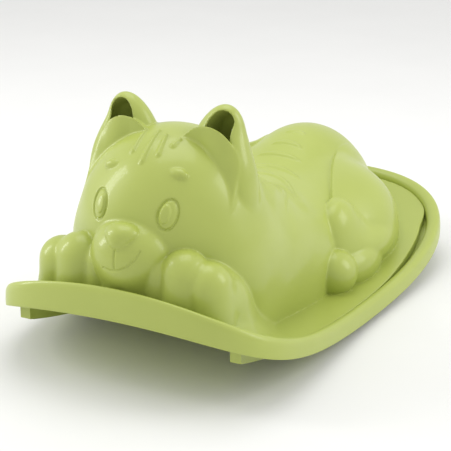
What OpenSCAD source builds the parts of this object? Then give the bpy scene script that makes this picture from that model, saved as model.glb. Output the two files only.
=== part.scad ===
// Child's rocking seesaw: a reclining cat moulded as one hollow shell, screwed down into
// a curved tray that rocks on two runners.
// The cat faces -Y, its left side is +X, up is +Z, and Z = 0 is the floor under the
// middle of the runners.

/* [Tray] */
// Length of the whole rocker, from the front lip to the rear lip
tray_l = 780; // [700:10:860]
// Width of the tray at mid length
tray_w = 468; // [430:2:520]
// Squareness of the front outline
front_square = 5.1; // [4:0.1:7]
// Squareness of the rear outline
rear_square = 3; // [2.4:0.05:3.5]
// How much wider the tray grows from the middle to its rear, as a share of the width
swell = 0.14; // [0:0.01:0.2]
// Width of the rolled rim, seen from above
rim_w = 18; // [14:1:24]
// Height of the rim over the lower edge of the skirt
rim_h = 26; // [22:1:34]
// How far the rim rises in the middle of the front
rim_arch = 40; // [0:1:45]
// How far the skirt's lower edge rises in the middle of the front
skirt_arch = 19; // [0:1:20]

/* [Rocker] */
// Radius of the arc that the rocker rolls on
rock_r = 1045; // [900:10:1200]
// Height of the skirt's lower edge over the runners' rolling line
skirt_lift = 10; // [9:0.5:15]
// Distance from the centre line to the middle of each runner
runner_x = 163; // [145:1:166]
// Width of a runner
runner_w = 16; // [12:1:20]
// Reach of the runners in front of the middle
runner_front = 350; // [320:5:355]
// Reach of the runners behind the middle
runner_rear = 336; // [300:2:340]
// Width of the grip strip under each runner
strip_w = 10; // [6:1:10]
// Thickness of the grip strip
strip_h = 3; // [2:0.5:4]
// How far the grip strip stands below its runner
strip_proud = 1; // [0.5:0.5:1.5]

/* [Mouldings] */
// Wall of the cat shell
shell_wall = 3; // [3:0.5:5]
// Wall of the tray
tray_wall = 3; // [3:0.5:4]
// Depth of the deck under the rim's crest
deck_drop = 6; // [4:1:10]
// Seam between the deck and the rim
seam = 2; // [1.5:0.5:3]
// Extra width of the seam at the two rear corners
grip_gap = 8; // [0:1:10]

/* [Fasteners] */
// Shank diameter of the screws
screw_d = 4; // [3.5:0.5:5]
// Head diameter of the screws
screw_head_d = 8; // [7:0.5:10]
// Height of the screw heads
screw_head_h = 2.6; // [2:0.2:3.2]

/* [Hidden] */

half_l = tray_l / 2;
half_w = tray_w / 2;
shell_green = [0.76, 0.82, 0.42];
inner_green = [0.62, 0.69, 0.34];
steel = [0.72, 0.72, 0.70];
rubber = [0.22, 0.24, 0.20];

// Heights of the tray's surfaces over the skirt's lower edge
pan_under = 3;
pan_top = pan_under + tray_wall;
deck_top = rim_h - deck_drop;
deck_arch = 30;

outline_step = 5;
clearance = 0.25;

// The strips stop short of the runners' ends, and rest on a flat in the middle
strip_end = 12;
rest_rise = 0.2;
rest_flat = sqrt(2 * rock_r * rest_rise) + 5;

// Seat brace: two long ribs and a cross rib over each pair of screws
brace_rib = 4;
brace_rib_x = [-40, 40];
brace_rib_y = [10, 150];
brace_span = [-30, 190];
brace_step = 10;
brace_half_w = 90;
brace_foot_h = 12;

// Screws that hold the shell to the tray, on the cat's left side; mirrored to the right
shell_screw_at = [[182, -300], [184, -90], [207, 90], [104, 338]];
// Screws that hold a runner to the tray
runner_screw_y = [-300, -150, 150, 290];
// Screws that hold the seat brace to the tray
brace_screw_x = 70;
brace_screw_at = [for (y = brace_rib_y) [brace_screw_x, y]];
boss_r = 7;
// Play around a screw's shank in a hole that it passes through, and one that it grips
loose_fit = 0.4;
tight_fit = 0.1;

// Cross recess in a screw's head
recess_l = 4.8;
recess_w = 0.8;
recess_depth = 1.4;

// ---------- outline and heights ----------

// A number held between two limits
function held(v, low, high) = min(max(v, low), high);

// A smooth step from 0 to 1
function eased(t) = let (u = held(t, 0, 1)) u * u * (3 - 2 * u);

// The point of the tray's outline in the direction a, set in by d and drawn in by k
function outline(a, d = 0, k = 1) =
  let (
    n = sin(a) < 0 ? front_square : rear_square,
    r = pow(pow(abs(cos(a)) / (half_w - d), n) + pow(abs(sin(a)) / (half_l - d), n), -1 / n),
    y = r * sin(a),
    v = y / half_l
  )
  [k * r * cos(a) * (1 + swell * v + swell * v * v), k * y];

// Height of the rolling line
function rock(y) = rock_r - sqrt(rock_r * rock_r - y * y);

// Share of the front arch at a point: 1 at the middle of the front lip
function arch(p) =
  held(1 - pow(p[0] / half_w, 2), 0, 1) * eased((-p[1] - half_l / 2) / (half_l / 2));

// A height over the skirt's lower edge as a point in space, with its own share of arch
function raised(p, h, rise) = [p[0], p[1], skirt_lift + rock(p[1]) + h + rise * arch(p)];

// Arch that a height between the skirt's edge and the rim follows
function rise_at(h) = skirt_arch + (rim_arch - skirt_arch) * held(h / rim_h, 0, 1);

// Width of the seam in the direction a: wider at the rear corners
function seam_at(a) =
  let (turn = 90 - abs(a - 90))
  seam + grip_gap * eased((62 - turn) / 8) * eased((turn - 5) / 45);

angles = [for (a = [0:outline_step:360 - outline_step]) a];
sides = len(angles);

// ---------- building blocks ----------

// A closed skin over rings of equal length, with a centre point at each end
module ringed_skin(rings, first, last) {
  count = len(rings);
  points = concat([first], [for (ring = rings) each ring], [last]);
  start = function (ring, i) 1 + ring * sides + i % sides;
  polyhedron(
    points,
    concat(
      [for (i = [0:sides - 1]) [0, start(0, i), start(0, i + 1)]],
      [for (r = [0:count - 2], i = [0:sides - 1])
        [start(r, i), start(r + 1, i + 1), start(r, i + 1)]],
      [for (r = [0:count - 2], i = [0:sides - 1])
        [start(r, i), start(r + 1, i), start(r + 1, i + 1)]],
      [for (i = [0:sides - 1]) [len(points) - 1, start(count - 1, i + 1), start(count - 1, i)]]
    ),
    convexity = 8
  );
}

// A ring of the tray's outline at an inset and a height over the skirt's lower edge
function ring(d, h, rise, k = 1) = [for (a = angles) raised(outline(a, d, k), h, rise)];

// The two ears, paws and legs are built once and mirrored
module both_sides() {
  children();
  mirror([1, 0, 0]) children();
}

// An ellipsoid about c with the half axes r, shrunk by inset on every side
module egg(c, r, inset = 0, fn = 22) {
  translate(c) scale([r[0] - inset, r[1] - inset, r[2] - inset]) sphere(1, $fn = fn);
}

// ---------- the cat's form ----------

// Centres and half axes of the eggs that the back is drawn over
shoulders = [[0, -140, 74], [140, 110, 124]];
saddle_front = [[0, 30, 60], [146, 120, 111]];
saddle_rear = [[0, 110, 58], [140, 110, 110]];
rump = [[0, 240, 30], [130, 158, 180]];

module trunk(inset) {
  hull()
    for (e = [shoulders, saddle_front, saddle_rear]) egg(e[0], e[1], inset);
  egg(rump[0], rump[1], inset);
}

module head(inset) {
  egg([0, -212, 184], [136, 134, 143], inset);
  hull() {
    egg([0, -318, 200], [48, 46, 46], inset, 18);
    egg([0, -300, 160], [66, 56, 44], inset, 18);
  }
}

// One toe of a front paw
module toe(x, inset) {
  hull() {
    egg([x, -334, 134], [18, 34, 58], inset, 14);
    egg([x + 6, -250, 105], [22, 36, 50], inset, 14);
  }
}

module front_leg(inset) {
  for (x = [58, 91, 124]) toe(x, inset);
  hull() {
    egg([96, -300, 110], [46, 44, 62], inset, 18);
    egg([92, -160, 60], [50, 90, 56], inset, 18);
  }
}

module hind_leg(inset) {
  egg([98, 168, 62], [89, 122, 112], inset, 18);
  hull() {
    egg([124, 64, 112], [33, 46, 54], inset, 14);
    egg([112, 124, 80], [66, 98, 66], inset, 18);
  }
  hull() {
    egg([152, 28, 60], [34, 34, 42], inset, 14);
    egg([150, 90, 54], [38, 38, 36], inset, 14);
  }
}

// The ear's outer form: a leaf that stands across the head
module ear(inset) {
  hull() {
    egg([38, -222, 308], [18, 30, 20], inset, 14);
    egg([82, -213, 353], [13, 18, 14], inset, 14);
    egg([103, -212, 314], [14, 24, 20], inset, 14);
    egg([106, -205, 220], [24, 34, 30], inset, 14);
    egg([50, -215, 250], [30, 40, 30], inset, 14);
  }
}

// The finger opening in the front of an ear, through into the hollow shell
module ear_opening() {
  hull()
    for (corner = [[66, 336, 4], [84, 353, 6], [97, 338, 5], [101, 308, 3]])
      translate([corner[0], -210, corner[1]])
        rotate([90, 0, 0]) cylinder(h = 60, r = corner[2], $fn = 16);
}

// Eyes, nose and brows stand proud of the face
module face() {
  both_sides() {
    egg([50, -308, 238], [15, 16, 21], 0, 16);
    egg([50, -286, 284], [14, 10, 7], 0, 12);
  }
  egg([0, -351, 217], [17, 12, 15], 0, 16);
}

// The inside of the chest, where the hollows of the head and forelegs run together
module chest_core() {
  egg([0, -205, 62], [100, 70, 50], 0, 14);
}

// The whole figure, shrunk by inset on every side
module cat_form(inset) {
  trunk(inset);
  head(inset);
  both_sides() {
    front_leg(inset);
    hind_leg(inset);
    ear(inset);
  }
}

// ---------- the deck and the tray ----------

// Rings of a surface that is drawn in from an inset outline towards its centre
function drawn_in(d, h, rise, shares) = [for (k = shares) ring(d, h, rise, k)];

// The deck's rings follow the seam, which widens at the rear corners
function deck_ring(d, h, rise, k = 1) =
  [for (a = angles) raised(outline(a, rim_w + seam_at(a) + d, k), h, rise)];

function centre(h) = raised([0, 0], h, 0);

shares_in = [0.8, 0.6, 0.4, 0.2];
shares_out = [0.2, 0.4, 0.6, 0.8];

// A solid between two heights, inset by d from the deck's edge
module deck_block(d, low, high, low_rise, high_rise, soft = 0) {
  ringed_skin(
    concat(
      [for (k = shares_out) deck_ring(d, low, low_rise, k)],
      [
        deck_ring(d, low, low_rise),
        deck_ring(d, high - soft, high_rise),
        deck_ring(d + soft, high, high_rise)
      ],
      [for (k = shares_in) deck_ring(d + soft, high, high_rise, k)]
    ),
    centre(low), centre(high)
  );
}

module pan_block(low, high) {
  ringed_skin(
    concat(
      drawn_in(rim_w / 2, low, skirt_arch, shares_out),
      [ring(rim_w / 2, low, skirt_arch), ring(rim_w / 2, high, skirt_arch)],
      drawn_in(rim_w / 2, high, skirt_arch, shares_in)
    ),
    centre(low), centre(high)
  );
}

// Rim, skirt and pan in one skin: up the outside, over the rim and down to the pan,
// with the same run a wall's thickness inside it
module tray_skin() {
  w = tray_wall;
  over = [
    [0, 0], [0, 0.3], [1, 0.72], [3.2, 0.92], [6.5, 1], [rim_w - 7, 1],
    [rim_w - 3, 0.94], [rim_w - 0.8, 0.82]
  ];
  ringed_skin(
    concat(
      drawn_in(rim_w - w, pan_under, skirt_arch, shares_out),
      [
        ring(rim_w - w, pan_under, skirt_arch),
        ring(rim_w - w, rim_h - w - 2, rim_arch),
        ring(rim_w - w - 2, rim_h - w, rim_arch),
        ring(w + 2, rim_h - w, rim_arch),
        ring(w, rim_h - w - 3, rim_arch),
        ring(w, 0, skirt_arch)
      ],
      [for (p = over) ring(p[0], p[1] * rim_h, rise_at(p[1] * rim_h))],
      [ring(rim_w, pan_top + 4, skirt_arch), ring(rim_w, pan_top, skirt_arch)],
      drawn_in(rim_w, pan_top, skirt_arch, shares_in)
    ),
    centre(pan_under), centre(pan_top)
  );
}

// ---------- screw bosses ----------

// How much a sloping surface climbs across a boss
function climb(p) = boss_r * abs(p[1]) / sqrt(rock_r * rock_r - p[1] * p[1]);

function pan_z(p) = raised(p, pan_under, skirt_arch)[2];
function head_seat_z(p) = pan_z(p) + screw_head_h + climb(p) * 0.7;
function boss_top_z(p) = head_seat_z(p) + 3.5;
function deck_z(p) = raised(p, deck_top, deck_arch)[2];
function runner_boss_z(p) = pan_z(p) + tray_wall + climb(p);

// Every place on both sides where a screw from below holds something to the tray
shell_screws_all = [for (p = shell_screw_at, s = [1, -1]) [s * p[0], p[1]]];
brace_screws_all = [for (p = brace_screw_at, s = [1, -1]) [s * p[0], p[1]]];
runner_screws_all = [for (y = runner_screw_y, s = [1, -1]) [s * runner_x, y]];

module cross_recess() {
  for (turn = [0, 90])
    rotate(turn)
      translate([-recess_l / 2, -recess_w / 2, -0.1])
        cube([recess_l, recess_w, recess_depth + 0.1]);
}

// A pan-head screw with its head's seat at the origin and its shank upwards
module screw(shank) {
  difference() {
    union() {
      cylinder(h = shank, d = screw_d, $fn = 24);
      translate([0, 0, -screw_head_h]) cylinder(h = screw_head_h, d = screw_head_d, $fn = 32);
    }
    translate([0, 0, -screw_head_h]) cross_recess();
  }
}

// ---------- the nodes ----------

module cat_shell() {
  color(shell_green) difference() {
    union() {
      difference() {
        union() {
          deck_block(0, pan_top + clearance, deck_top, skirt_arch, deck_arch, 2);
          intersection() {
            cat_form(0);
            deck_block(-seam / 2, deck_top - shell_wall, 420, deck_arch, 0);
          }
          face();
        }
        deck_block(shell_wall, -20, deck_top - shell_wall, skirt_arch, deck_arch);
        cat_form(shell_wall);
        chest_core();
        both_sides() ear_opening();
      }
      // Bosses that hang from the deck
      for (p = shell_screws_all)
        translate([p[0], p[1], boss_top_z(p)])
          hull() {
            cylinder(h = 0.1, r = boss_r - 1, $fn = 20);
            translate([0, 0, deck_z(p) - boss_top_z(p) - climb(p) - 1])
              cylinder(h = 0.1, r = boss_r, $fn = 20);
          }
    }
    for (p = shell_screws_all)
      translate([p[0], p[1], boss_top_z(p) - 1])
        cylinder(h = 7.5, d = screw_d + tight_fit, $fn = 24);
  }
}

module rocker_base() {
  color(shell_green) difference() {
    union() {
      tray_skin();
      intersection() {
        union() {
          for (p = concat(shell_screws_all, brace_screws_all))
            translate([p[0], p[1], 0])
              hull() {
                cylinder(h = 1, r = boss_r + 1.5, $fn = 20);
                translate([0, 0, boss_top_z(p) - 0.1]) cylinder(h = 0.1, r = boss_r, $fn = 20);
              }
          for (p = runner_screws_all)
            translate([p[0], p[1], 0])
              hull() {
                cylinder(h = 1, r = boss_r, $fn = 20);
                translate([0, 0, runner_boss_z(p) - 0.1])
                  cylinder(h = 0.1, r = boss_r - 1, $fn = 20);
              }
        }
        pan_block(pan_under, 90);
      }
    }
    for (p = concat(shell_screws_all, brace_screws_all))
      translate([p[0], p[1], 0]) {
        cylinder(h = boss_top_z(p) + 1, d = screw_d + loose_fit, $fn = 24);
        cylinder(h = head_seat_z(p), d = screw_head_d + 1, $fn = 24);
      }
    for (p = runner_screws_all)
      translate([p[0], p[1], 0])
        cylinder(h = runner_boss_z(p) + 1, d = screw_d + loose_fit, $fn = 24);
  }
}

// The pan's underside over a runner, as the outline of what lies above it
module above_runner() {
  step = 10;
  line = [for (y = [-runner_front - step:step:runner_rear + step])
    [y, pan_z([runner_x + runner_w / 2, y]) - clearance]];
  polygon(concat(line, [[runner_rear + step, 300], [-runner_front - step, 300]]));
}

// A band between two arcs about the rocking centre, from the front end to the rear end
module rocking_band(low, high, front, rear) {
  difference() {
    translate([0, rock_r]) circle(r = rock_r - low, $fn = 360);
    translate([0, rock_r]) circle(r = rock_r - high, $fn = 360);
    translate([-2 * rock_r - front, -1]) square([2 * rock_r, 3 * rock_r]);
    translate([rear, -1]) square([2 * rock_r, 3 * rock_r]);
    translate([-rock_r, 200]) square([2 * rock_r, 3 * rock_r]);
  }
}

// A shape drawn in the lengthwise plane, made width wide about the plane x = at
module lengthwise(at, width) {
  translate([at - width / 2, 0, 0])
    rotate([90, 0, 90]) linear_extrude(width) children();
}

// A runner, with a groove under it for its grip strip and pilot holes for its screws
module runner(side) {
  at = side * runner_x;
  color(shell_green) difference() {
    lengthwise(at, runner_w)
      difference() {
        rocking_band(strip_proud, 60, runner_front, runner_rear);
        above_runner();
      }
    lengthwise(at, strip_w)
      rocking_band(-1, strip_h - rest_rise, runner_front - strip_end, runner_rear - strip_end);
    for (y = runner_screw_y)
      translate([at, y, rock(y) + strip_h + 1]) cylinder(h = 60, d = screw_d + tight_fit, $fn = 24);
  }
}

module runner_left() {
  runner(1);
}

module runner_right() {
  runner(-1);
}

// The grip strip rolls on the floor and has a short flat in the middle to rest on
module grip_strip(side) {
  color(rubber)
    lengthwise(side * runner_x, strip_w)
      difference() {
        rocking_band(0, strip_h, runner_front - strip_end, runner_rear - strip_end);
        translate([-rest_flat, -1]) square([2 * rest_flat, 1 + rest_rise]);
      }
}

module grip_strip_left() {
  translate([0, 0, -rest_rise]) grip_strip(1);
}

module grip_strip_right() {
  translate([0, 0, -rest_rise]) grip_strip(-1);
}

// Height of an egg's underside skin over a point, or 0 outside it
function under_egg(e, x, y, inset) =
  let (
    c = e[0],
    r = [for (half = e[1]) half - inset],
    rest = 1 - pow((x - c[0]) / r[0], 2) - pow((y - c[1]) / r[1], 2)
  )
  rest > 0 ? c[2] + r[2] * sqrt(rest) : 0;

// The highest a rib may reach at a point: just under the back
function brace_top(x, y) =
  max([for (e = [saddle_front, saddle_rear, rump]) under_egg(e, x, y, shell_wall)]) - 1;

function brace_foot(x, y) = raised([x, y], pan_top + clearance, skirt_arch)[2];

// A rib along the tray
module long_rib(x) {
  stations = [brace_span[0]:brace_step:brace_span[1]];
  lengthwise(x, brace_rib)
    polygon(concat(
      [for (y = stations) [y, brace_foot(x, y)]],
      [for (y = [brace_span[1]:-brace_step:brace_span[0]]) [y, brace_top(x, y)]]
    ));
}

// A rib across the tray
module cross_rib(y) {
  translate([0, y + brace_rib / 2, 0]) rotate([90, 0, 0]) linear_extrude(brace_rib)
    polygon(concat(
      [[-brace_half_w, boss_top_z([0, y])], [brace_half_w, boss_top_z([0, y])]],
      [for (x = [brace_half_w:-brace_step:-brace_half_w]) [x, brace_top(x, y)]]
    ));
}

// An egg-crate of ribs that carries the rider's weight from the cat's back to the tray
module seat_brace() {
  color(inner_green) difference() {
    union() {
      for (x = brace_rib_x) long_rib(x);
      for (y = brace_rib_y) cross_rib(y);
      for (p = brace_screws_all)
        translate([p[0], p[1], boss_top_z(p)]) cylinder(h = brace_foot_h, r = boss_r, $fn = 24);
    }
    for (p = brace_screws_all)
      translate([p[0], p[1], boss_top_z(p) - 1])
        cylinder(h = brace_foot_h, d = screw_d + tight_fit, $fn = 24);
  }
}

module shell_screws() {
  color(steel)
    for (p = shell_screws_all)
      translate([p[0], p[1], head_seat_z(p)]) screw(9);
}

module brace_screws() {
  color(steel)
    for (p = brace_screws_all)
      translate([p[0], p[1], head_seat_z(p)]) screw(14);
}

module runner_screws() {
  color(steel)
    for (p = runner_screws_all)
      translate([p[0], p[1], runner_boss_z(p)]) rotate([180, 0, 0]) screw(10);
}

cat_shell();
rocker_base();
runner_left();
runner_right();
grip_strip_left();
grip_strip_right();
seat_brace();
shell_screws();
runner_screws();
brace_screws();
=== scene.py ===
"""Child's rocking seesaw: a reclining cat moulded as one shell, in a curved tray.

The cat faces -Y, its left side is +X, up is +Z and Z = 0 is the floor. Lengths in the form's
functions are millimetres, as in the CAD; meshes are scaled to metres when they are made.
"""

import math
from concurrent.futures import ThreadPoolExecutor

import bmesh
import bpy
import numpy as np
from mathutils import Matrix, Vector


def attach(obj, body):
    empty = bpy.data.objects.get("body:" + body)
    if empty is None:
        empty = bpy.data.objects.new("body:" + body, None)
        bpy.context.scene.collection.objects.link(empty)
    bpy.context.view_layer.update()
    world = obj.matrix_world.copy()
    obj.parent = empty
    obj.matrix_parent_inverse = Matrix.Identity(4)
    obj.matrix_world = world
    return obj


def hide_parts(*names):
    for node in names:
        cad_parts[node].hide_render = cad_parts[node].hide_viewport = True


MM = 0.001

# The tray, with the CAD's values
HALF_W = 234
HALF_L = 390
FRONT_SQUARE = 5.1
REAR_SQUARE = 3
SWELL = 0.14
RIM_W = 18
RIM_H = 26
RIM_ARCH = 40
SKIRT_ARCH = 19
ROCK_R = 1045
SKIRT_LIFT = 10
WALL = 3
PAN_UNDER = 3
PAN_TOP = PAN_UNDER + WALL
DECK_TOP = 20
DECK_ARCH = 30
SEAM = 2
GRIP_GAP = 8
CLEARANCE = 0.25

# Screw places on the cat's left side, mirrored to the right
SHELL_SCREWS = [(182, -300), (184, -90), (207, 90), (104, 338)]
BRACE_SCREWS = [(70, 10), (70, 150)]
SCREW_D = 4
SCREW_HEAD_D = 8
SCREW_HEAD_H = 2.6
BOSS_R = 7
POST_SIDES = 48

# The cat's marks. An eye is a centre in x and z with its half width and height
EYE = (51, 239)
EYE_R = (12, 18.5)
PUPIL = (49, 241)
PUPIL_R = (7, 12)
# Ends in x and y of each stripe, its upper end first
FOREHEAD_STRIPES = [
    ((-28, -234), (-25, -280)),
    ((-6, -238), (-3, -294)),
    ((9, -246), (15, -281)),
    ((30, -246), (27, -262)),
]
# Where each crosses the spine, half its width across, and how far its ends bend forwards
BACK_STRIPES = [
    (215, 18, 4),
    (181, 28, 6),
    (151, 40, 6),
    (117, 66, 34),
    (86, 102, 106),
    (38, 126, 145),
]
STRIPE_R = 6.5

# How finely the shell is meshed, and the nudge that its slope is measured with
FINE_STEP = 2
NUDGE = 0.1


# ---------- joining forms ----------
# A form is a field: a function of points that is about the distance outside its surface.


def held(value, low, high):
    """A value kept between two others."""
    return np.clip(value, low, high)


def eased(value):
    """A smooth step from 0 to 1."""
    u = held(value, 0, 1)
    return u * u * (3 - 2 * u)


def join(a, b, blend):
    """Two forms as one, with a fillet about blend wide."""
    h = np.maximum(blend - np.abs(a - b), 0) / blend
    return np.minimum(a, b) - h * h * blend / 4


def common(a, b, blend):
    """What two forms share."""
    return -join(-a, -b, blend)


def carve(a, b, blend):
    """Form a with form b cut away."""
    return common(a, -b, blend)


def egg(p, centre, radii, lean=0):
    """An ellipsoid; lean tips its top outwards by that many degrees."""
    q = p - np.array(centre)
    if lean:
        s, c = math.sin(math.radians(lean)), math.cos(math.radians(lean))
        q = np.stack([q[:, 0] * c - q[:, 2] * s, q[:, 1], q[:, 0] * s + q[:, 2] * c], 1)
    r = np.array(radii, float)
    a = np.sqrt(((q / r) ** 2).sum(1)) + 1e-6
    b = np.sqrt(((q / (r * r)) ** 2).sum(1)) + 1e-9
    return a * (a - 1) / b


def bone(p, start, end, start_r, end_r):
    """A round bar from start to end, whose radius changes along it."""
    a = np.array(start, float)
    d = np.array(end, float) - a
    t = held((p - a) @ d / (d @ d), 0, 1)
    return np.sqrt(((p - a - t[:, None] * d) ** 2).sum(1)) - (start_r + (end_r - start_r) * t)


def disc(x, y, centre, radius):
    return np.hypot(x - centre[0], y - centre[1]) - radius


def oval(x, y, centre, radii):
    u, v = (x - centre[0]) / radii[0], (y - centre[1]) / radii[1]
    a = np.hypot(u, v) + 1e-6
    b = np.hypot(u / radii[0], v / radii[1]) + 1e-9
    return a * (a - 1) / b


def line_distance(x, y, points):
    """Distance from a broken line in a plane, and the place along it from 0 to 1."""
    best = np.full(len(x), 1e3)
    place = np.zeros(len(x))
    count = len(points) - 1
    for i in range(count):
        (ax, ay), (bx, by) = points[i], points[i + 1]
        dx, dy = bx - ax, by - ay
        t = held(((x - ax) * dx + (y - ay) * dy) / (dx * dx + dy * dy), 0, 1)
        d = np.hypot(x - ax - t * dx, y - ay - t * dy)
        nearer = d < best
        best = np.where(nearer, d, best)
        place = np.where(nearer, (i + t) / count, place)
    return best, place


# ---------- the tray's outline and heights ----------


def rock(y):
    """Height of the rolling line."""
    return ROCK_R - np.sqrt(np.maximum(ROCK_R * ROCK_R - y * y, 1))


def arch(x, y):
    """Share of the front arch: 1 at the middle of the front lip."""
    return held(1 - (x / HALF_W) ** 2, 0, 1) * eased((-y - HALF_L / 2) / (HALF_L / 2))


def swelled(y):
    """How much wider the tray is than at its middle."""
    v = y / HALF_L
    return 1 + SWELL * v + SWELL * v * v


def edge(p):
    """Distance outside the tray's outline, seen from above."""
    x = np.abs(p[:, 0]) / swelled(p[:, 1]) / HALF_W
    v = np.abs(p[:, 1]) / HALF_L
    n = np.where(p[:, 1] < 0, FRONT_SQUARE, REAR_SQUARE)
    q = (x**n + v**n + 1e-12) ** (1 / n)
    slope = np.hypot(x ** (n - 1) / HALF_W, v ** (n - 1) / HALF_L) * q ** (1 - n) + 1e-9
    return (q - 1) / slope


def seam_width(p):
    """Width of the seam around the deck, which widens at the two rear corners."""
    turn = np.degrees(np.arctan2(p[:, 1], np.abs(p[:, 0]) / swelled(p[:, 1])))
    return SEAM + GRIP_GAP * eased((62 - turn) / 8) * eased((turn - 5) / 45)


def height(x, y, h, rise):
    """A height over the skirt's lower edge, as a height over the floor."""
    return SKIRT_LIFT + rock(y) + h + rise * arch(x, y)


def rise_at(h):
    """Arch that a height between the skirt's edge and the rim follows."""
    return SKIRT_ARCH + (RIM_ARCH - SKIRT_ARCH) * held(h / RIM_H, 0, 1)


# ---------- the cat's form ----------
# Each function takes points on the cat's left side: x is never negative.


def barrel(p):
    """The body between the neck and the rump, with full sides and a dip to sit in."""
    y = p[:, 1]
    half = 142 + 13 * eased((y + 160) / 150) - 26 * eased((y - 60) / 160)
    top = 180 - 30 * eased((y + 190) / 240)
    n = 3.5  # squareness of its section
    x = p[:, 0] / half
    z = np.maximum(p[:, 2] - 22, 0) / top
    q = (x**n + z**n + 1e-9) ** (1 / n)
    slope = np.hypot(x ** (n - 1) / half, z ** (n - 1) / top) * q ** (1 - n) + 1e-6
    f = (q - 1) / np.maximum(slope, 1 / 300)
    return common(common(f, -(y + 262), 60), y - 200, 60)


def trunk(p):
    rump = egg(p, (0, 244, 27), (128, 162, 183))
    neck = egg(p, (0, -118, 122), (134, 138, 116))
    return join(join(barrel(p), neck, 50), rump, 40)


def head(p):
    skull = egg(p, (0, -212, 184), (134, 134, 143))
    cheek = egg(p, (62, -222, 160), (72, 82, 68))
    muzzle = egg(p, (0, -328, 183), (57, 50, 46))
    chin = bone(p, (0, -316, 60), (0, -320, 160), 50, 50)
    return join(join(skull, cheek, 30), join(muzzle, chin, 18), 4)


def front_leg(p):
    """A paw of three toes in front of the arm that it ends."""
    toe_in = bone(p, (44, -342, 90), (46, -334, 162), 26, 25)
    toe_mid = bone(p, (80, -338, 90), (80, -331, 163), 34, 34)
    toe_out = bone(p, (117, -332, 90), (111, -326, 152), 33, 31)
    arm = bone(p, (112, -330, 154), (112, -200, 38), 25, 30)
    chest = egg(p, (92, -285, 96), (52, 66, 80))
    f = join(join(arm, toe_out, 14), chest, 20)
    return join(join(f, toe_mid, 4), toe_in, 4)


def hind_leg(p):
    """The haunch, and apart from it the knee, shin and paw that lie over it."""
    haunch = egg(p, (98, 166, 62), (89, 120, 104))
    knee = egg(p, (135, 64, 98), (34, 52, 56))
    shin = join(knee, egg(p, (118, 138, 68), (80, 112, 52)), 30)
    paw = join(egg(p, (150, 16, 54), (38, 38, 38)), egg(p, (152, 88, 50), (44, 74, 42)), 3)
    return haunch, join(shin, paw, 2.5)


def thigh_step(p):
    """Height of the thigh over the back and flank, from a crease that runs along it."""
    x, y = p[:, 0], p[:, 1]
    crease = 65 + 56 * held((235 - y) / 165, 0, 1) ** 1.3
    across = eased((x - 56) / 34) * eased((x - crease) / 5)
    return 6 * across * eased((y - 40) / 20) * eased((330 - y) / 90)


def ear_axes(p):
    """Across the ear's face, up along it, and out of it."""
    return p[:, 0], 0.46 * p[:, 1] + 0.888 * p[:, 2], -0.888 * p[:, 1] + 0.46 * p[:, 2] - 359


def ear_leaf(p):
    """The ear's outer form, before its face is cut flat."""
    top = egg(p, (61, -204, 281), (41, 31, 84), lean=15)
    side = egg(p, (102, -214, 250), (26, 34, 72), lean=-6)
    return join(top, side, 16)


def ear_panel(p):
    """The raised face of an ear: distance outside its outline, and above its surface."""
    x, up, out = ear_axes(p)
    middle = held(86 - 0.16 * (up - 95), 78, 86)
    reach = np.maximum(np.maximum(95 - up, up - 140), 0)
    long = np.hypot(x - middle, reach) - (28 + 6 * held((up - 95) / 45, 0, 1))
    outline = join(disc(x, up, (63, 148.5), 44), long, 12)
    curve = 15 * (np.maximum(x - 66, 0) / 38) ** 2
    droop = 0.3 * (192 - up) * held((112 - x) / 36, 0, 1.6)
    return outline, out - (6 - curve - droop)


def ear(p, body):
    """An ear, and the pocket in it, which runs on down into the body."""
    x, up, out = ear_axes(p)
    leaf = ear_leaf(p)
    face = common(leaf, out - 1 + 8 * held((x - 78) / 30, 0, 2) ** 2, 4)
    outline, above = ear_panel(p)
    panel = common(common(outline, above, 1.2), -(above + 30), 2)
    hole = join(oval(x, up, (79, 177), (25, 42)), oval(x, up, (95, 158), (15, 36)), 12)
    hole = common(hole, -(out + 110), 8)
    hole = common(hole, join(join(leaf, body, 10) + 4, -(out + 10), 6), 3)
    return join(face, panel, 2.5), common(hole, join(above + 3.5, -outline, 1), 1)


def features(p):
    """Nose and brows, which stand proud of the face."""
    bridge = egg(p, (0, -354, 217), (24, 19, 13))
    tip = egg(p, (0, -358, 206), (14, 19, 14))
    brow = egg(p, (47, -288, 284), (16, 9, 9))
    return join(join(bridge, tip, 14), brow, 1)


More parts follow.
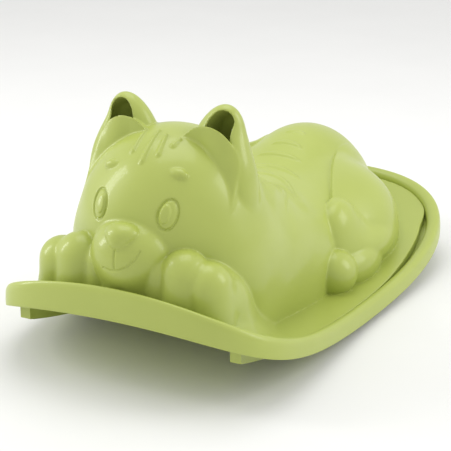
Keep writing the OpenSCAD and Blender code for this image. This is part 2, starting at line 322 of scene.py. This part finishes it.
def relief(q):
    """Height of the face's lines and the coat's stripes over the form."""
    x, y, z = q[:, 0], q[:, 1], q[:, 2]
    out = np.zeros(len(q))
    in_front = y < -250
    # Eyes: a groove around a low dome, with a raised pupil
    rim = oval(np.abs(x), z, EYE, EYE_R)
    dome = held(1 - ((np.abs(x) - EYE[0]) / EYE_R[0]) ** 2 - ((z - EYE[1]) / EYE_R[1]) ** 2, 0, 1)
    pupil = oval(np.abs(x), z, PUPIL, PUPIL_R)
    eye = 1.6 * dome - 2.4 * np.exp(-((rim / 1.7) ** 2)) + 1.8 * eased((0.6 - pupil) / 2.4)
    out = out + np.where(in_front & (rim < 8), eye, 0)
    # Mouth: a line down from the nose, and a smile
    down, _ = line_distance(x, z, [(0, 198), (0, 174)])
    smile, _ = line_distance(x, z, [(-18, 172), (-6, 171), (6, 173), (18, 179), (27, 188), (32, 199)])
    mouth = np.minimum(down, smile)
    out = out - np.where(y < -330, 1.5 * np.exp(-((mouth / 1.3) ** 2)), 0)
    # Forehead stripes, broader at their lower ends
    above = (z > 270) & (np.abs(x) < 60)
    for top, low in FOREHEAD_STRIPES:
        d, place = line_distance(x, y, [top, low])
        broad = 3 + 2.6 * place
        out = out + np.where(above, 2.8 * eased((broad - d) / broad), 0)
    # Back stripes, which bend forwards down the flanks and taper to their ends
    on_back = (z > 120) & (y > -170)
    for middle, half, bend in BACK_STRIPES:
        share = np.abs(x) / half
        slope = 2 * bend * share / half
        d = np.abs(y - middle + bend * share**2) / np.hypot(1, slope)
        broad = STRIPE_R * np.sqrt(held(1 - share**2, 0, 1))
        out = out + np.where(on_back, 2 * eased(1.5 * (broad - d) / STRIPE_R), 0)
    return out


def figure(p):
    """The cat without its relief."""
    body = join(trunk(p), head(p), 40)
    ears, pocket = ear(p, body)
    f = join(body, ears, 3)
    f = carve(f, pocket, 1.5)
    f = join(f, front_leg(p), 2.5)
    haunch, lower_leg = hind_leg(p)
    f = join(f, haunch, 30) - thigh_step(p)
    f = join(f, lower_leg, 3)
    return join(f, features(p), 1)


def cat_shell(q):
    """The whole shell: the figure and the deck that it stands on, closed underneath."""
    x, y, z = np.abs(q[:, 0]), q[:, 1], q[:, 2]
    p = np.stack([x, y, z], 1)
    base = SKIRT_LIFT + rock(y)
    share = arch(x, y)
    deck = z - (base + DECK_TOP + DECK_ARCH * share)
    # The deck's fillet is sharp but for an apron behind the front paws
    apron = eased((-y - 170) / 80) * eased((y + 330) / 50) * eased((x - 100) / 40)
    f = join(figure(p), deck, 1.5 + 40 * apron)
    # Over the rim only the muzzle stands out past the deck's edge
    side = edge(p) + RIM_W + seam_width(p)
    over_rim = base + RIM_H + RIM_ARCH * share + 4 - z
    f = common(f, join(side, over_rim, 6), 2)
    f = common(f, base + PAN_TOP + CLEARANCE + SKIRT_ARCH * share - z, 1)
    return f - relief(q)


# ---------- meshing a field ----------


def sampled(field, points):
    """The field at many points, worked out on all cores."""
    parts = np.array_split(points, max(1, len(points) // 20000))
    with ThreadPoolExecutor(4) as pool:
        return np.concatenate(list(pool.map(field, parts)))


def settled(field, points, step, rounds=3):
    """Points moved along the field's slope onto its surface."""
    for _ in range(rounds):
        value = sampled(field, points)
        slope = np.stack(
            [(sampled(field, points + nudge) - value) / NUDGE for nudge in np.eye(3) * NUDGE], 1
        )
        size = (slope**2).sum(1) + 1e-6
        move = -(value / size)[:, None] * slope
        length = np.sqrt((move**2).sum(1)) + 1e-9
        points = points + move * np.minimum(1, step / length)[:, None]
    return points


def grid_points(index, low, step):
    """Where some nodes of a grid are."""
    return low + np.stack(index, 1) * step


def corner(nodes, cells, offset):
    """The part of a grid of nodes that is one corner of each cell."""
    return nodes[tuple(slice(k, k + n) for k, n in zip(offset, cells.shape))]


def crossed(nodes, inside, number):
    """A quad around each grid edge that the surface crosses, through the four cells at it."""
    quads = []
    for axis in range(3):
        u, v = (axis + 1) % 3, (axis + 2) % 3
        here = [slice(1, -1)] * 3
        here[axis] = slice(0, -1)
        there = list(here)
        there[axis] = slice(1, None)
        known = nodes[tuple(here)] & nodes[tuple(there)]
        crossing = (inside[tuple(here)] != inside[tuple(there)]) & known
        at = np.array(np.nonzero(crossing)).T
        at[:, u] += 1
        at[:, v] += 1
        back_u, back_v = np.eye(3, dtype=int)[u], np.eye(3, dtype=int)[v]
        around = [at, at - back_u, at - back_u - back_v, at - back_v]
        quad = np.stack([number[tuple(c.T)] for c in around], 1)
        outward = inside[tuple(at.T)]
        quad[~outward] = quad[~outward][:, ::-1]
        quads.append(quad[(quad >= 0).all(1)])
    return np.concatenate(quads)


def meshed(field, low, high, step):
    """Vertices and quads of the field's surface, by surface nets on a grid near it."""
    coarse = 4 * step
    low = np.array(low, float)
    counts = np.ceil((np.array(high) - low) / coarse).astype(int)
    centres = np.indices(counts).reshape(3, -1)
    value = sampled(field, grid_points(centres + 0.5, low, coarse)).reshape(counts)
    near = np.abs(value) < 1.9 * coarse
    cells = near.repeat(4, 0).repeat(4, 1).repeat(4, 2)
    nodes = np.zeros(np.array(cells.shape) + 1, bool)
    for offset in np.ndindex(2, 2, 2):
        corner(nodes, cells, offset)[cells] = True
    grid = np.full(nodes.shape, np.nan, np.float32)
    grid[nodes] = sampled(field, grid_points(np.nonzero(nodes), low, step))

    inside = grid < 0
    total = np.zeros(cells.shape, np.int8)
    for offset in np.ndindex(2, 2, 2):
        total += corner(inside, cells, offset)
    mixed = cells & (total > 0) & (total < 8)
    number = np.full(cells.shape, -1, np.int64)
    number[mixed] = np.arange(mixed.sum())
    vertices = settled(field, grid_points(np.nonzero(mixed), low, step) + step / 2, step)
    return vertices, crossed(nodes, inside, number)


def relaxed(field, vertices, quads, step, rounds=3):
    """Vertices evened out over the surface."""
    edges = np.concatenate([quads[:, [i, (i + 1) % 4]] for i in range(4)])
    count = np.maximum(np.bincount(edges[:, 0], minlength=len(vertices)), 1)
    for _ in range(rounds):
        beside = vertices[edges[:, 1]]
        total = [np.bincount(edges[:, 0], along, len(vertices)) for along in beside.T]
        mean = np.stack([t / count for t in total], 1)
        vertices = settled(field, vertices + 0.5 * (mean - vertices), step, 1)
    return settled(field, vertices, step, 2)


def mesh_object(name, vertices, faces):
    """A smooth-shaded object from points in millimetres."""
    mesh = bpy.data.meshes.new(name)
    mesh.from_pydata((np.asarray(vertices) * MM).tolist(), [], np.asarray(faces).tolist())
    mesh.shade_smooth()
    mesh.validate()
    piece = bpy.data.objects.new(name, mesh)
    bpy.context.scene.collection.objects.link(piece)
    return piece


def refine(piece, field, wanted, step):
    """Splits the faces whose centres are wanted, and settles their new vertices."""
    bm = bmesh.new()
    bm.from_mesh(piece.data)
    centres = np.array([f.calc_center_median() for f in bm.faces]) / MM
    chosen = wanted(centres)
    edges = {e for f, want in zip(bm.faces, chosen) if want for e in f.edges}
    bmesh.ops.subdivide_edges(bm, edges=list(edges), cuts=1, use_grid_fill=True)
    points = np.array([v.co for v in bm.verts]) / MM
    moved = wanted(points)
    points[moved] = settled(field, points[moved], step, 2)
    for vertex, point in zip(bm.verts, points):
        vertex.co = Vector(point * MM)
    bm.to_mesh(piece.data)
    bm.free()
    piece.data.shade_smooth()


def lined(p):
    """Where the face's lines and the stripes are, with a margin."""
    x, y, z = p[:, 0], p[:, 1], p[:, 2]
    eye = (oval(np.abs(x), z, EYE, (13, 20)) < 4) & (y < -290)
    mouth = (np.abs(x) < 38) & (z > 165) & (z < 205) & (y < -330)
    stripe = (np.abs(x) < 36) & (z > 280) & (y < -226)
    return eye | mouth | stripe


def make_shell():
    """The shell as one closed mesh, finer where the face's lines are."""
    step = FINE_STEP
    low, high = (-240, -400, 8), (240, 400, 380)
    vertices, quads = meshed(cat_shell, low, high, step)
    vertices = relaxed(cat_shell, vertices, quads, step)
    piece = mesh_object("cat_moulding", vertices, quads)
    refine(piece, cat_shell, lined, 1)
    piece.data.set_sharp_from_angle(angle=math.radians(42))
    return piece


# ---------- the tray ----------


def outline(angles, inset=0, share=1):
    """Points of the tray's outline in some directions, set in and drawn in."""
    s, c = np.sin(angles), np.cos(angles)
    n = np.where(s < 0, FRONT_SQUARE, REAR_SQUARE)
    r = (np.abs(c / (HALF_W - inset)) ** n + np.abs(s / (HALF_L - inset)) ** n) ** (-1 / n)
    y = r * s
    return share * r * c * swelled(y), share * y


def ring(angles, inset, h, rise, share=1):
    """A ring of points set in from the outline, at a height over the skirt's lower edge."""
    x, y = outline(angles, inset, share)
    return np.stack([x, y, height(x, y, h, rise)], 1)


def smooth_profile(points, per_span):
    """A curve through points (Catmull-Rom), as a list of (inset, height)."""
    ends = [points[0]] + list(points) + [points[-1]]
    ends = np.array(ends, float)
    curve = []
    for i in range(len(points) - 1):
        a, b, c, d = ends[i : i + 4]
        for t in np.arange(per_span) / per_span:
            square = (2 * a - 5 * b + 4 * c - d) * t**2
            cube = (3 * b - a - 3 * c + d) * t**3
            curve.append(0.5 * (2 * b + (c - a) * t + square + cube))
    curve.append(ends[-1])
    return curve


def closed_skin(name, rings, first, last):
    """A closed mesh over rings of equal length, with a centre point at each end."""
    sides = len(rings[0])
    vertices = np.concatenate([[first]] + rings + [[last]])
    steps = np.arange(sides)
    after = (steps + 1) % sides
    faces = [[0, 1 + i, 1 + j] for i, j in zip(steps, after)]
    for k in range(len(rings) - 1):
        a, b = 1 + k * sides, 1 + (k + 1) * sides
        faces += [[a + i, b + i, b + j, a + j] for i, j in zip(steps, after)]
    end, a = len(vertices) - 1, 1 + (len(rings) - 1) * sides
    faces += [[end, a + j, a + i] for i, j in zip(steps, after)]
    mesh = bpy.data.meshes.new(name)
    mesh.from_pydata((vertices * MM).tolist(), [], faces)
    piece = bpy.data.objects.new(name, mesh)
    bpy.context.scene.collection.objects.link(piece)
    bm = bmesh.new()
    bm.from_mesh(mesh)
    bmesh.ops.recalc_face_normals(bm, faces=bm.faces)
    bm.to_mesh(mesh)
    bm.free()
    return piece


def pan_z(x, y):
    """Height of the pan's underside."""
    return height(x, y, PAN_UNDER, SKIRT_ARCH)


def climb(y):
    """How much a sloping surface climbs across a boss."""
    return BOSS_R * abs(y) / math.sqrt(ROCK_R**2 - y**2)


def head_seat(x, y):
    """Height of the face that a screw's head bears on, at the end of its counterbore."""
    return pan_z(x, y) + SCREW_HEAD_H + climb(y) * 0.7


def boss_top(x, y):
    return head_seat(x, y) + 3.5


def mirrored(places):
    return [(side * x, y) for x, y in places for side in (1, -1)]


def posts(name, stacks):
    """Round posts as one mesh: each is (x, y) with (radius, z) up its side."""
    bm = bmesh.new()
    for (x, y), side in stacks:
        rings = []
        for radius, z in side:
            rings.append(
                [
                    bm.verts.new(Vector((x + radius * math.cos(a), y + radius * math.sin(a), z)) * MM)
                    for a in np.linspace(0, 2 * math.pi, POST_SIDES, endpoint=False)
                ]
            )
        for low, high in zip(rings, rings[1:]):
            for i in range(POST_SIDES):
                j = (i + 1) % POST_SIDES
                bm.faces.new((low[i], low[j], high[j], high[i]))
        bm.faces.new(rings[0][::-1])
        bm.faces.new(rings[-1])
    mesh = bpy.data.meshes.new(name)
    bm.to_mesh(mesh)
    bm.free()
    piece = bpy.data.objects.new(name, mesh)
    bpy.context.scene.collection.objects.link(piece)
    return piece


def boolean(piece, other, operation):
    """Adds or cuts another mesh, which is then removed."""
    modifier = piece.modifiers.new(operation.lower(), "BOOLEAN")
    modifier.operation = operation
    modifier.solver = "EXACT"
    modifier.object = other
    bpy.context.view_layer.update()
    applied = bpy.data.meshes.new_from_object(piece.evaluated_get(bpy.context.evaluated_depsgraph_get()))
    piece.modifiers.clear()
    piece.data = applied
    bpy.data.objects.remove(other)


def tray_skin():
    """The tray's wall, from the middle of its underside out over the rim and back in."""
    angles = np.radians(np.arange(0, 360, 0.5))
    over = [(0, 0), (0, 0.3), (1, 0.72), (3.2, 0.92), (6.5, 1), (11, 1), (15, 0.94), (17.2, 0.82)]
    out_in = [0.15, 0.3, 0.45, 0.6, 0.75, 0.9]
    inner = [
        (RIM_W - WALL, PAN_UNDER, SKIRT_ARCH),
        (RIM_W - WALL, RIM_H - WALL - 2, RIM_ARCH),
        (RIM_W - WALL - 2, RIM_H - WALL, RIM_ARCH),
        (WALL + 2, RIM_H - WALL, RIM_ARCH),
        (WALL, RIM_H - WALL - 3, RIM_ARCH),
        (WALL, 0.6, SKIRT_ARCH),
        (WALL - 0.6, 0, SKIRT_ARCH),
    ]
    rings = [ring(angles, RIM_W - WALL, PAN_UNDER, SKIRT_ARCH, k) for k in out_in]
    rings += [ring(angles, *at) for at in inner]
    rings += [ring(angles, 0.6, 0, SKIRT_ARCH), ring(angles, 0, 0.6, rise_at(0.6))]
    for inset, share in smooth_profile(over, 5)[2:]:
        h = share * RIM_H
        rings.append(ring(angles, inset, h, rise_at(h)))
    rings += [
        ring(angles, RIM_W - 0.1, PAN_TOP + 8, SKIRT_ARCH + 8),
        ring(angles, RIM_W, PAN_TOP + 1, SKIRT_ARCH),
        ring(angles, RIM_W + 1, PAN_TOP, SKIRT_ARCH),
    ]
    rings += [ring(angles, RIM_W + 1, PAN_TOP, SKIRT_ARCH, k) for k in out_in[::-1]]
    low = (0, 0, height(0, 0, PAN_UNDER, SKIRT_ARCH))
    high = (0, 0, height(0, 0, PAN_TOP, SKIRT_ARCH))
    return closed_skin("tray_moulding", rings, low, high)


def make_tray():
    """The tray with its bosses and the counterbores for the screws driven from below."""
    tray = tray_skin()
    held_from_below = mirrored(SHELL_SCREWS + BRACE_SCREWS)
    bosses = [
        ((x, y), [(BOSS_R + 1.5, pan_z(x, y) + 1.5), (BOSS_R, boss_top(x, y))])
        for x, y in held_from_below
    ]
    boolean(tray, posts("bosses", bosses), "UNION")
    bores = []
    for x, y in held_from_below:
        under, seat = pan_z(x, y) - 12, head_seat(x, y)
        head, shank = SCREW_HEAD_D / 2 + 0.5, SCREW_D / 2 + 0.2
        bores.append(((x, y), [(head, under), (head, seat), (shank, seat), (shank, seat + 8)]))
    boolean(tray, posts("bores", bores), "DIFFERENCE")
    tray.data.shade_smooth()
    tray.data.set_sharp_from_angle(angle=math.radians(35))
    return tray


# ---------- materials ----------


def material(name):
    """A material, its node tree, its shader and the output that gives places on the object."""
    mat = bpy.data.materials.new(name)
    mat.use_nodes = True
    tree = mat.node_tree
    shader = tree.nodes["Principled BSDF"]
    place = tree.nodes.new("ShaderNodeTexCoord").outputs["Object"]
    return mat, tree, shader, place


def noise(tree, place, scale, detail=3):
    node = tree.nodes.new("ShaderNodeTexNoise")
    node.inputs["Scale"].default_value = scale
    node.inputs["Detail"].default_value = detail
    tree.links.new(place, node.inputs["Vector"])
    return node.outputs["Fac"]


def ranged(tree, value, low, high, start=0.35, end=0.65):
    """A noise value spread over a range."""
    node = tree.nodes.new("ShaderNodeMapRange")
    for name, number in (("From Min", start), ("From Max", end), ("To Min", low), ("To Max", high)):
        node.inputs[name].default_value = number
    tree.links.new(value, node.inputs["Value"])
    return node.outputs["Result"]


def mixed_colour(tree, share, first, second):
    node = tree.nodes.new("ShaderNodeMix")
    node.data_type = "RGBA"
    node.inputs["A"].default_value = (*first, 1)
    node.inputs["B"].default_value = (*second, 1)
    tree.links.new(share, node.inputs["Factor"])
    return node.outputs["Result"]


def bumped(tree, shader, value, distance, strength=1):
    node = tree.nodes.new("ShaderNodeBump")
    node.inputs["Distance"].default_value = distance
    node.inputs["Strength"].default_value = strength
    tree.links.new(value, node.inputs["Height"])
    tree.links.new(node.outputs["Normal"], shader.inputs["Normal"])


def linear(*srgb):
    """An sRGB colour of 0 to 255 as the shader's own numbers."""
    return tuple(
        (c / 255 / 12.92) if c / 255 <= 0.04045 else ((c / 255 + 0.055) / 1.055) ** 2.4 for c in srgb
    )


def plastic(name, light, dark, rough, grain):
    """Moulded plastic: faint cloudiness in its colour, and the mould's fine texture."""
    mat, tree, shader, place = material(name)
    cloud = ranged(tree, noise(tree, place, 9), 0, 1)
    colour = mixed_colour(tree, cloud, light, dark)
    tree.links.new(colour, shader.inputs["Base Color"])
    wear = ranged(tree, noise(tree, place, 14, 3), rough - 0.03, rough + 0.05)
    tree.links.new(wear, shader.inputs["Roughness"])
    bumped(tree, shader, noise(tree, place, 420, 2), grain)
    shader.inputs["Coat Weight"].default_value = 0.3
    shader.inputs["Coat Roughness"].default_value = 0.12
    return mat


def metal(name, colour, rough):
    """Zinc-plated steel with a fine, slightly uneven finish."""
    mat, tree, shader, place = material(name)
    shader.inputs["Metallic"].default_value = 1
    darker = tuple(c * 0.8 for c in colour)
    tone = mixed_colour(tree, ranged(tree, noise(tree, place, 300), 0, 1), colour, darker)
    tree.links.new(tone, shader.inputs["Base Color"])
    wear = ranged(tree, noise(tree, place, 900, 4), rough - 0.08, rough + 0.1)
    tree.links.new(wear, shader.inputs["Roughness"])
    bumped(tree, shader, noise(tree, place, 1800, 2), 0.00003)
    return mat


def rubber(name, colour):
    """Grip strip: matt, with a fine cross-ribbed tread."""
    mat, tree, shader, place = material(name)
    paler = tuple(c * 1.5 for c in colour)
    tone = mixed_colour(tree, ranged(tree, noise(tree, place, 60, 4), 0, 1), colour, paler)
    tree.links.new(tone, shader.inputs["Base Color"])
    shader.inputs["Roughness"].default_value = 0.85
    wave = tree.nodes.new("ShaderNodeTexWave")
    wave.bands_direction = "Y"
    wave.inputs["Scale"].default_value = 80
    tree.links.new(place, wave.inputs["Vector"])
    bumped(tree, shader, wave.outputs["Fac"], 0.0004)
    return mat


def dress(piece, mat):
    piece.data.materials.clear()
    piece.data.materials.append(mat)


def soften(piece, width):
    """Rounds the edges of a CAD node, which keeps its own mesh."""
    weld = piece.modifiers.new("weld", "WELD")
    weld.merge_threshold = 0.01 * MM
    bevel = piece.modifiers.new("bevel", "BEVEL")
    bevel.width = width * MM
    bevel.segments = 3
    bevel.limit_method = "ANGLE"
    bevel.angle_limit = math.radians(35)


# ---------- stage, lights and camera ----------


def make_stage():
    bm = bmesh.new()
    bmesh.ops.create_circle(bm, cap_ends=True, segments=96, radius=14)
    mesh = bpy.data.meshes.new("floor")
    bm.to_mesh(mesh)
    bm.free()
    floor = bpy.data.objects.new("floor", mesh)
    bpy.context.scene.collection.objects.link(floor)
    mat, tree, shader, place = material("floor_paint")
    tone = mixed_colour(tree, noise(tree, place, 3), linear(236, 236, 234), linear(230, 230, 228))
    tree.links.new(tone, shader.inputs["Base Color"])
    shader.inputs["Roughness"].default_value = 0.7
    dress(floor, mat)


def aimed(piece, target):
    piece.rotation_euler = (Vector(target) - piece.location).to_track_quat("-Z", "Y").to_euler()


def softbox(name, location, size, power):
    light = bpy.data.lights.new(name, "AREA")
    light.shape = "RECTANGLE"
    light.size, light.size_y = size
    light.energy = power
    piece = bpy.data.objects.new(name, light)
    piece.location = location
    bpy.context.scene.collection.objects.link(piece)
    aimed(piece, (0, 0, 0.15))


def make_lights():
    world = bpy.data.worlds.new("studio")
    world.use_nodes = True
    world.node_tree.nodes["Background"].inputs["Color"].default_value = (1, 1, 1, 1)
    world.node_tree.nodes["Background"].inputs["Strength"].default_value = 0.85
    bpy.context.scene.world = world
    softbox("key_left", (-2.0, -0.8, 1.2), (0.5, 1.5), 19)
    softbox("key_right", (1.9, 0.7, 1.3), (1.0, 1.4), 15)
    softbox("top", (-0.2, 0.3, 2.2), (1.4, 1.4), 13)


def make_camera():
    azimuth, elevation = math.radians(26.3), math.radians(20)
    target = Vector((-24.5, 0, 107.3)) * MM
    away = Vector(
        (
            math.sin(azimuth) * math.cos(elevation),
            -math.cos(azimuth) * math.cos(elevation),
            math.sin(elevation),
        )
    )
    data = bpy.data.cameras.new("camera")
    data.sensor_width = 36
    data.lens = 36 * 1385 / 451
    camera = bpy.data.objects.new("camera", data)
    camera.location = target + away * 2.156
    bpy.context.scene.collection.objects.link(camera)
    aimed(camera, target)
    bpy.context.scene.camera = camera


# ---------- the scene ----------

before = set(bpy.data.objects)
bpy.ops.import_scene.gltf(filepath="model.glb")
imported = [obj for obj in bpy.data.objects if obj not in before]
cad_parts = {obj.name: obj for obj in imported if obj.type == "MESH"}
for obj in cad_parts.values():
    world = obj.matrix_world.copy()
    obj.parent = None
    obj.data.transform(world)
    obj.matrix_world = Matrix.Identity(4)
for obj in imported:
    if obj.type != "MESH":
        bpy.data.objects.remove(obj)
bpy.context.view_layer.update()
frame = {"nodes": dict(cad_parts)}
nodes = frame["nodes"]

make_camera()
make_stage()
make_lights()
bpy.context.scene.view_settings.view_transform = "Standard"

green, deep_green = linear(171, 183, 86), linear(167, 179, 82)
shell_plastic = plastic("shell_plastic", green, deep_green, 0.42, 0.00004)
tray_plastic = plastic("tray_plastic", green, deep_green, 0.44, 0.00005)
inner_plastic = plastic("inner_plastic", linear(150, 164, 84), linear(142, 156, 78), 0.45, 0.0001)
steel = metal("plated_steel", (0.66, 0.66, 0.64), 0.32)
grip = rubber("grip_rubber", (0.06, 0.07, 0.05))

shell = make_shell()
dress(shell, shell_plastic)
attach(shell, "root")
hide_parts("cat_shell")

tray = make_tray()
dress(tray, tray_plastic)
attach(tray, "root")
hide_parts("rocker_base")

for name in ("runner_left", "runner_right"):
    soften(nodes[name], 1.2)
    dress(nodes[name], tray_plastic)
for name in ("grip_strip_left", "grip_strip_right"):
    soften(nodes[name], 0.5)
    dress(nodes[name], grip)
for name in ("shell_screws", "runner_screws", "brace_screws"):
    soften(nodes[name], 0.25)
    dress(nodes[name], steel)
soften(nodes["seat_brace"], 0.6)
dress(nodes["seat_brace"], inner_plastic)
